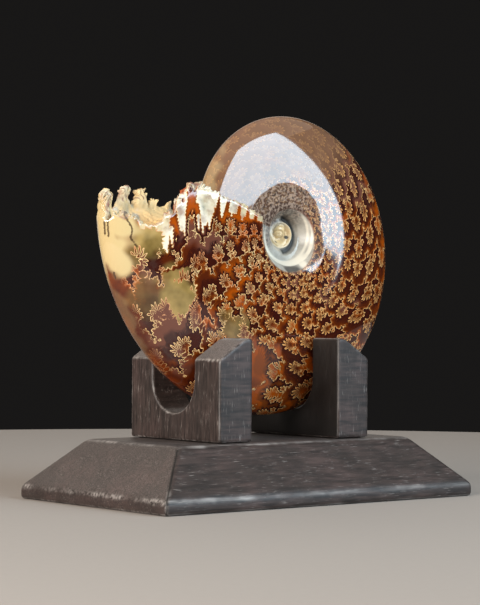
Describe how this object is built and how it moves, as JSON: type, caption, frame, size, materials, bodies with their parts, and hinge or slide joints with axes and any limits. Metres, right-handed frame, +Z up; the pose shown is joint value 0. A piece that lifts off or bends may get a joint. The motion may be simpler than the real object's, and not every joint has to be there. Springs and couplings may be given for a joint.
{
  "type": "ammonite fossil in a wooden stand",
  "caption": "Polished spiral ammonite fossil with a frilled broken end, resting on edge in the notched uprights of a bevelled dark wood stand.",
  "frame": {"origin": "middle of the base plate's underside", "axes": "+Z up, +X along the base's long side and the shell's plane, -Y the front flank's side"},
  "size_m": [0.183, 0.112, 0.1803],
  "materials": {
    "stained_wood": "dark grey-brown stain, waxed, worn paler on the edges",
    "polished_ammonite": "polished translucent calcite, amber to red-brown with cream suture lines"
  },
  "bodies": {
    "root": {"stand_base": "stained_wood", "upright_left": "stained_wood", "upright_right": "stained_wood", "ammonite": "polished_ammonite"}
  },
  "joints": []
}
